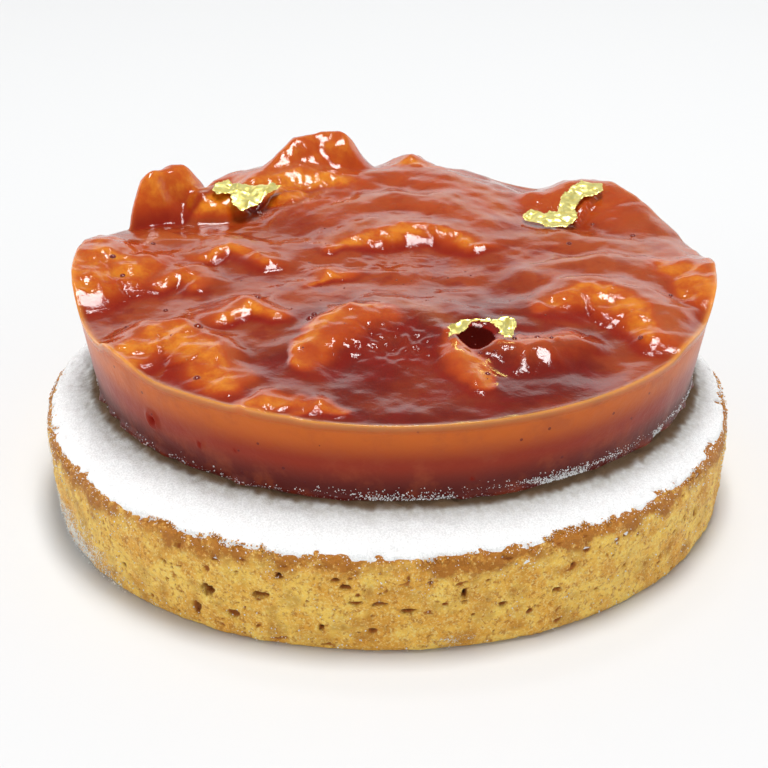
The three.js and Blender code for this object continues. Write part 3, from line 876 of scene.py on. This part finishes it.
def moulded_wall_colour(tree, place, height, speck):
    """The wall goes from nearly black red at its foot to amber at its rim, a gradient of painted shade at the
    foot and painted light at the top; it is also marbled and speckled.
    """
    # painted light and shade: darker at the foot, amber near the rim
    lighting_by_height = between(tree, height, 0.0148, 0.0243)
    colour = mix(tree, between(tree, lighting_by_height, 0.0, 0.45), (0.082, 0.006, 0.004, 1), (0.24, 0.022, 0.006, 1))
    colour = mix(tree, between(tree, lighting_by_height, 0.45, 1.0), colour, (0.5, 0.11, 0.012, 1))
    marbled = between(tree, grain(tree, place, 240.0, 4.0, 0.65), 0.45, 0.68)
    colour = mix(tree, calc(tree, "MULTIPLY", marbled, 0.4), colour, (0.3, 0.055, 0.016, 1))
    return mix(tree, calc(tree, "MULTIPLY", speck, 0.7), colour, (0.08, 0.005, 0.008, 1))


def glaze_look(dusting):
    look, tree, shader, place = start_look("apple in glaze")
    wall = stored(tree, "wall")
    height = add(tree, "ShaderNodeSeparateXYZ", {0: place}).outputs["Z"]
    specks = add(tree, "ShaderNodeTexVoronoi", {"Vector": place, "Scale": 430.0}).outputs["Distance"]
    speck = calc(tree, "MULTIPLY", calc(tree, "LESS_THAN", specks, 0.085), wall)
    wall_colour = moulded_wall_colour(tree, place, height, speck)
    colour = mix(tree, wall, glazed_top_colour(tree, place), wall_colour)

    # deep glaze darkens where it pools; painted shade turns the hollow under the front gold leaf and the
    # middles of the wall's bubbles near black
    pooled_and_shaded = stored(tree, "deep_and_shaded")
    deep_and_shaded = calc(tree, "MULTIPLY", pooled_and_shaded, 0.9, clamp=True)
    colour = mix(tree, deep_and_shaded, colour, (0.2, 0.007, 0.003, 1))
    colour = mix(tree, between(tree, pooled_and_shaded, 1.0, 1.5), colour, (0.045, 0.003, 0.002, 1))
    # painted highlight: a lighter amber line along the rim, on the thin glaze there
    colour = mix(tree, calc(tree, "MULTIPLY", stored(tree, "lip_glint"), 0.65), colour, (0.7, 0.33, 0.07, 1))
    low = calc(tree, "SUBTRACT", 1.0, between(tree, height, 0.0147, 0.0163))
    amount = calc(tree, "MULTIPLY", calc(tree, "MULTIPLY", wall, low), 0.5)
    dust = use_effect(tree, dusting, place, Amount=amount)["Mask"]
    colour = mix(tree, calc(tree, "MULTIPLY", dust, 0.6), colour, (0.8, 0.75, 0.76, 1))
    tree.links.new(colour, shader.inputs["Base Color"])

    shine = calc(tree, "SUBTRACT", 0.5, calc(tree, "MULTIPLY", wall, 0.3))
    shine = calc(tree, "SUBTRACT", shine, calc(tree, "MULTIPLY", between(tree, pooled_and_shaded, 0.95, 1.5), 0.3))
    shine = calc(tree, "SUBTRACT", shine, calc(tree, "MULTIPLY", deep_and_shaded, 0.2))
    tree.links.new(shine, shader.inputs["Specular IOR Level"])
    skin = grain(tree, place, 900.0, 3.0, 0.6)
    rough = calc(tree, "ADD", 0.06, calc(tree, "MULTIPLY", wall, 0.22))
    tree.links.new(calc(tree, "ADD", rough, calc(tree, "MULTIPLY", skin, 0.06)), shader.inputs["Roughness"])
    relief = calc(tree, "SUBTRACT", calc(tree, "MULTIPLY", skin, 0.75), speck)
    tree.links.new(bump(tree, relief, 0.00008), shader.inputs["Normal"])
    shader.inputs["IOR"].default_value = 1.47
    shader.inputs["Subsurface Weight"].default_value = 0.3
    shader.inputs["Subsurface Radius"].default_value = (1.0, 0.3, 0.12)
    shader.inputs["Subsurface Scale"].default_value = 0.003
    return look


def gold_look():
    look, tree, shader, place = start_look("gold leaf")
    specks = grain(tree, place, 1400.0, 3.0, 0.6)
    colour = mix(tree, between(tree, specks, 0.4, 0.7), (1.0, 0.92, 0.34, 1), (1.0, 0.82, 0.2, 1))
    tree.links.new(colour, shader.inputs["Base Color"])
    tree.links.new(bump(tree, grain(tree, place, 700.0, 2.0, 0.5), 0.00006), shader.inputs["Normal"])
    shader.inputs["Metallic"].default_value = 1.0
    shader.inputs["Roughness"].default_value = 0.36
    return look


def table_look():
    look, tree, shader, place = start_look("white table")
    tone = grain(tree, place, 3.0, 1.0, 0.5)
    colour = mix(tree, tone, (0.645, 0.65, 0.654, 1), (0.66, 0.665, 0.669, 1))
    tree.links.new(colour, shader.inputs["Base Color"])
    shader.inputs["Roughness"].default_value = 0.7
    shader.inputs["Specular IOR Level"].default_value = 0.2
    return look


# Stage, camera and light

TABLE_RADIUS = 3000.0
CAMERA_DISTANCE = 0.260
CAMERA_RISE = math.radians(25)
CAMERA_AIM = 0.0161  # how far above the table the camera looks


def table_top():
    """A wide white surface under the tart that rises a little towards its edge."""
    rows, columns = 12, 64
    angle = np.tile(np.linspace(0, 2 * math.pi, columns, endpoint=False), rows)
    radius = np.repeat(np.linspace(0.05, 1.0, rows) ** 1.5 * TABLE_RADIUS, columns)
    points = around(radius, angle, 0.00002 * np.maximum(0, radius - TABLE_RADIUS / 3))
    faces = ring_faces(rows, columns) + [list(range(columns))]
    top = make_piece("table_top", points, faces, {})
    top.data.materials.append(table_look())


def set_camera():
    data = bpy.data.cameras.new("camera")
    camera = bpy.data.objects.new("camera", data)
    bpy.context.scene.collection.objects.link(camera)
    back = CAMERA_DISTANCE * math.cos(CAMERA_RISE)
    camera.location = (0, -back, CAMERA_AIM + CAMERA_DISTANCE * math.sin(CAMERA_RISE))
    camera.rotation_euler = (math.pi / 2 - CAMERA_RISE, 0, 0)
    data.sensor_width = 36
    data.lens = 103.7
    data.shift_x = -0.0035
    data.shift_y = -0.035
    data.clip_start = 0.01
    bpy.context.scene.camera = camera


def set_light():
    """A white studio that is dimmer overhead and brighter low down in front and at the sides."""
    world = bpy.data.worlds.new("studio")
    bpy.context.scene.world = world
    world.use_nodes = True
    tree = world.node_tree
    direction = add(tree, "ShaderNodeSeparateXYZ", {0: add(tree, "ShaderNodeTexCoord").outputs["Generated"]})
    high = between(tree, direction.outputs["Z"], 0.35, 0.57)
    front = calc(tree, "MULTIPLY", between(tree, direction.outputs["Y"], 0.1, -0.6), 0.32)
    left = calc(tree, "MULTIPLY", between(tree, direction.outputs["X"], -0.1, -0.8), 1.15)
    right = calc(tree, "MULTIPLY", between(tree, direction.outputs["X"], 0.1, 0.8), 0.5)
    around_it = calc(tree, "ADD", calc(tree, "ADD", front, left), right)
    low_light = calc(tree, "MULTIPLY", around_it, calc(tree, "SUBTRACT", 1.0, high))
    dim = calc(tree, "SUBTRACT", calc(tree, "MULTIPLY", high, 0.8), low_light)
    strength = calc(tree, "SUBTRACT", 1.03, dim)
    background = tree.nodes["Background"]
    background.inputs["Color"].default_value = (1.0, 1.0, 1.0, 1)
    tree.links.new(strength, background.inputs["Strength"])

    add_lamp("softbox", (0.04, 0.0, 0.72), (0.32, 0.22), 5.0)
    add_lamp("accent", (-0.02, 0.26, 0.6), (0.07, 0.05), 0.3)


def add_lamp(name, place, size, power):
    """A rectangular lamp that faces the tart."""
    data = bpy.data.lights.new(name, "AREA")
    data.shape = "RECTANGLE"
    data.size, data.size_y = size
    data.energy = power
    lamp = bpy.data.objects.new(name, data)
    lamp.location = place
    lamp.rotation_euler = Vector(place).to_track_quat("Z", "Y").to_euler()
    bpy.context.scene.collection.objects.link(lamp)


# The tart put together

def dress(piece, look, slot_name, *nodes):
    """Gives a piece its look and its body, and hides the solids that it stands for. The slot name is not
    used.
    """
    piece.data.materials.append(look)
    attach(piece, "root")
    if nodes:
        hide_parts(*nodes)


crumb, dusting = crumb_effect(), dusting_effect()
dress(biscuit_base(), biscuit_look(crumb, dusting), "biscuit", "biscuit_base")
dress(biscuit_crumbs(), crumbs_look(crumb), "biscuit")
dress(icing_sugar(), sugar_look("icing sugar", 0.00016), "icing_sugar", "icing_sugar")
dress(sugar_grains(), sugar_look("sugar grains", 0.0001), "icing_sugar")
apple_look = glaze_look(dusting)
dress(glazed_apple(), apple_look, "glazed_apple", "apple_layer")
dress(glaze_bubbles(), apple_look, "glazed_apple")
foil_look = gold_look()
for order, (name, outline) in enumerate(GOLD_LEAVES.items()):
    dress(gold_leaf(name, outline, 200 + 10 * order), foil_look, "gold_leaf", name)

table_top()
set_camera()
set_light()
bpy.context.scene.view_settings.view_transform = "Standard"
